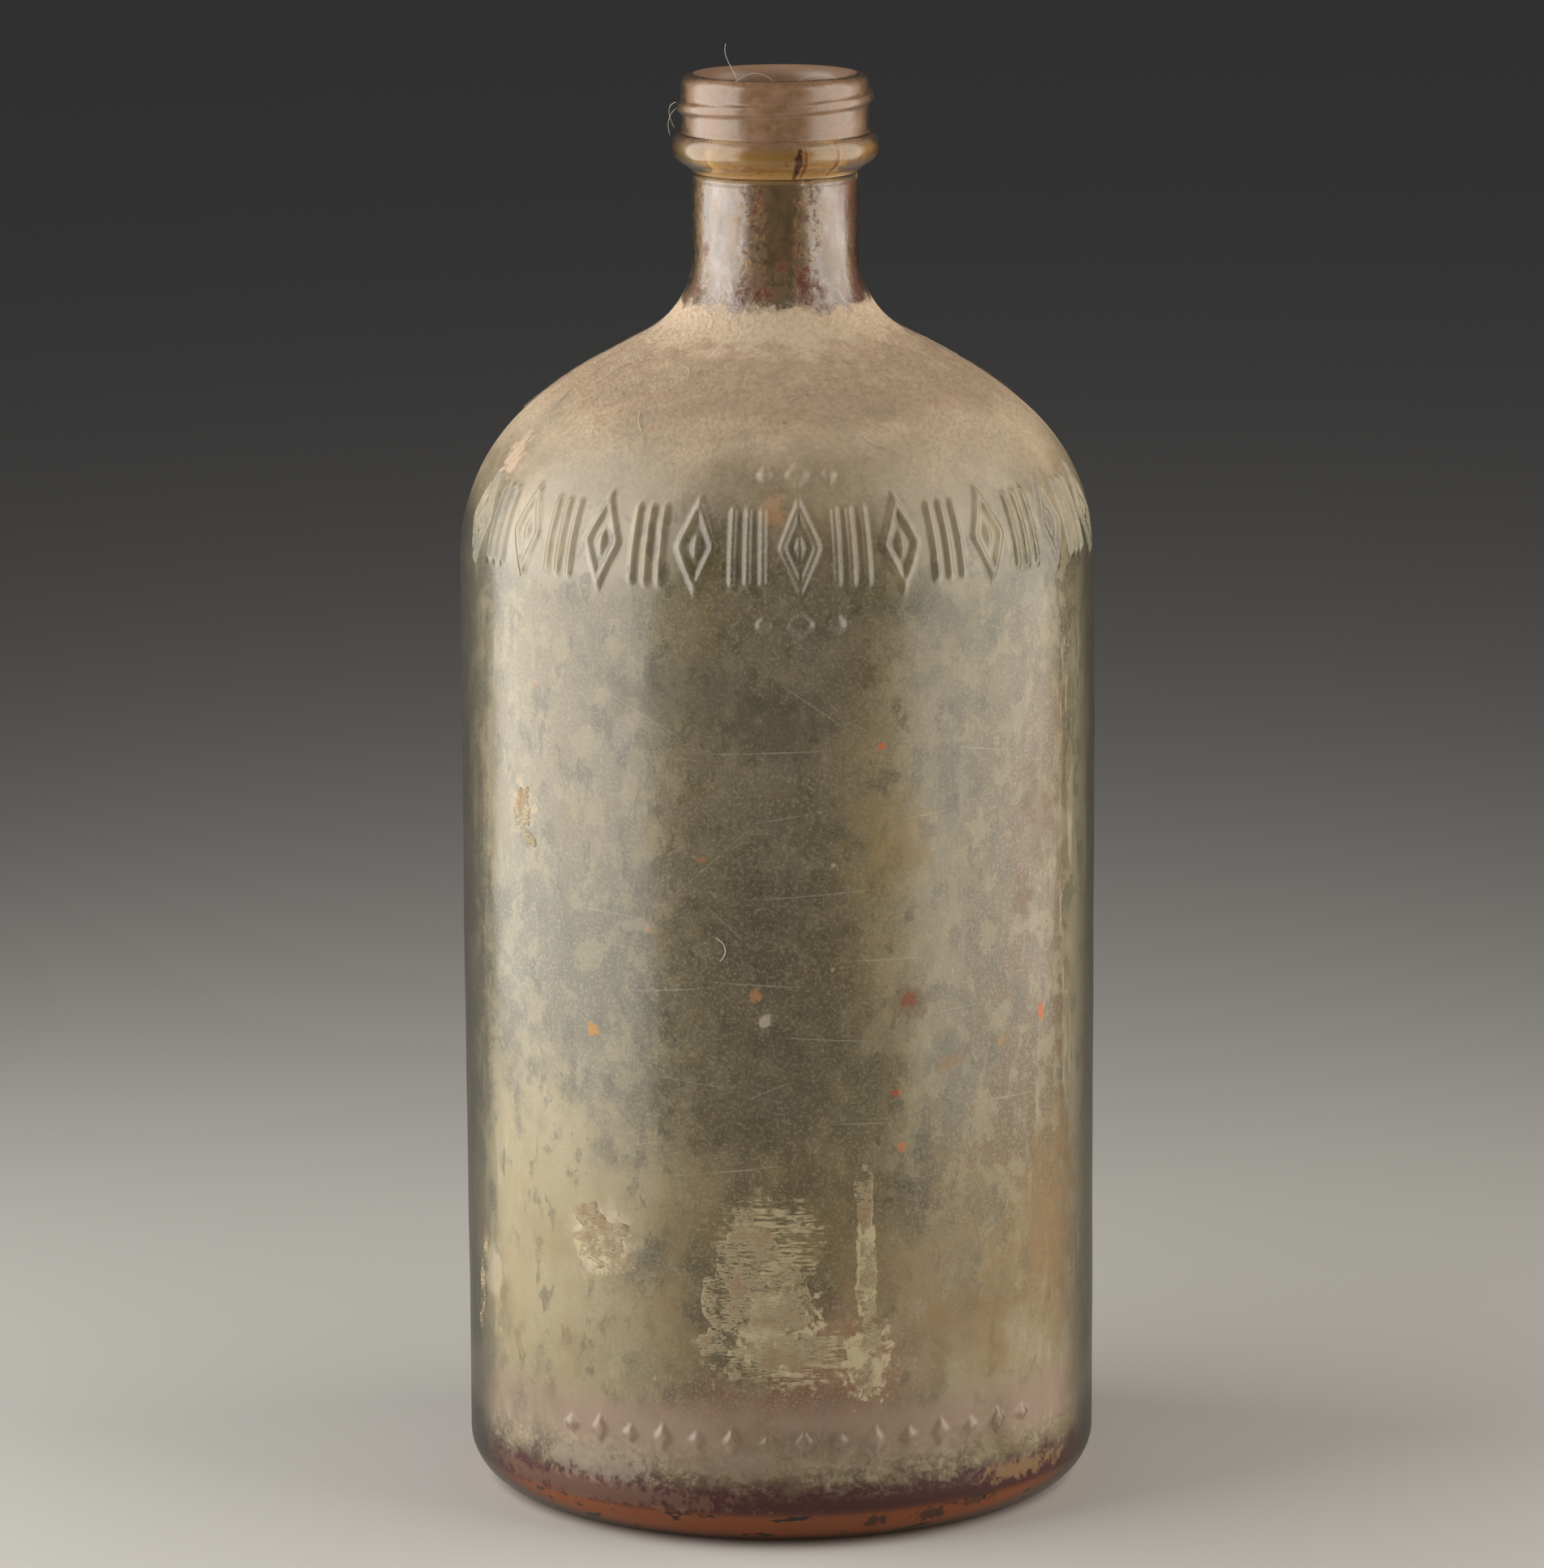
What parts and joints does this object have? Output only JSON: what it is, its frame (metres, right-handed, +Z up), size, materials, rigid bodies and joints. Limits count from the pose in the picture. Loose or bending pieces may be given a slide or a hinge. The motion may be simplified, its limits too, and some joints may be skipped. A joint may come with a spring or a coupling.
{
  "type": "glass bottle",
  "caption": "Old tall round-shouldered clear glass soda bottle with a screw-thread mouth, a raised lozenge ornament, dust and dried residue, open and without its cap.",
  "frame": {"origin": "centre of the base, on the surface the bottle stands on", "axes": "+Z up along the bottle's axis to the mouth, -Y towards the front with the raised ornament, +X to the viewer's right"},
  "size_m": [0.09, 0.0905, 0.202],
  "materials": {
    "aged_glass": "clear faintly green-amber glass, glossy, sick and hazy in patches",
    "syrup_residue": "dark maroon dried syrup, cracked, satin",
    "mineral_haze": "grey-green mottled mineral haze, matt",
    "tan_dust": "fine tan dust, fully matt",
    "pale_crust": "pale beige flaking crust, matt"
  },
  "bodies": {
    "root": {"glass_bottle": "aged_glass", "dried_residue": "syrup_residue", "mineral_film": "mineral_haze", "shoulder_dust": "tan_dust", "crust_patches": "pale_crust"}
  },
  "joints": []
}
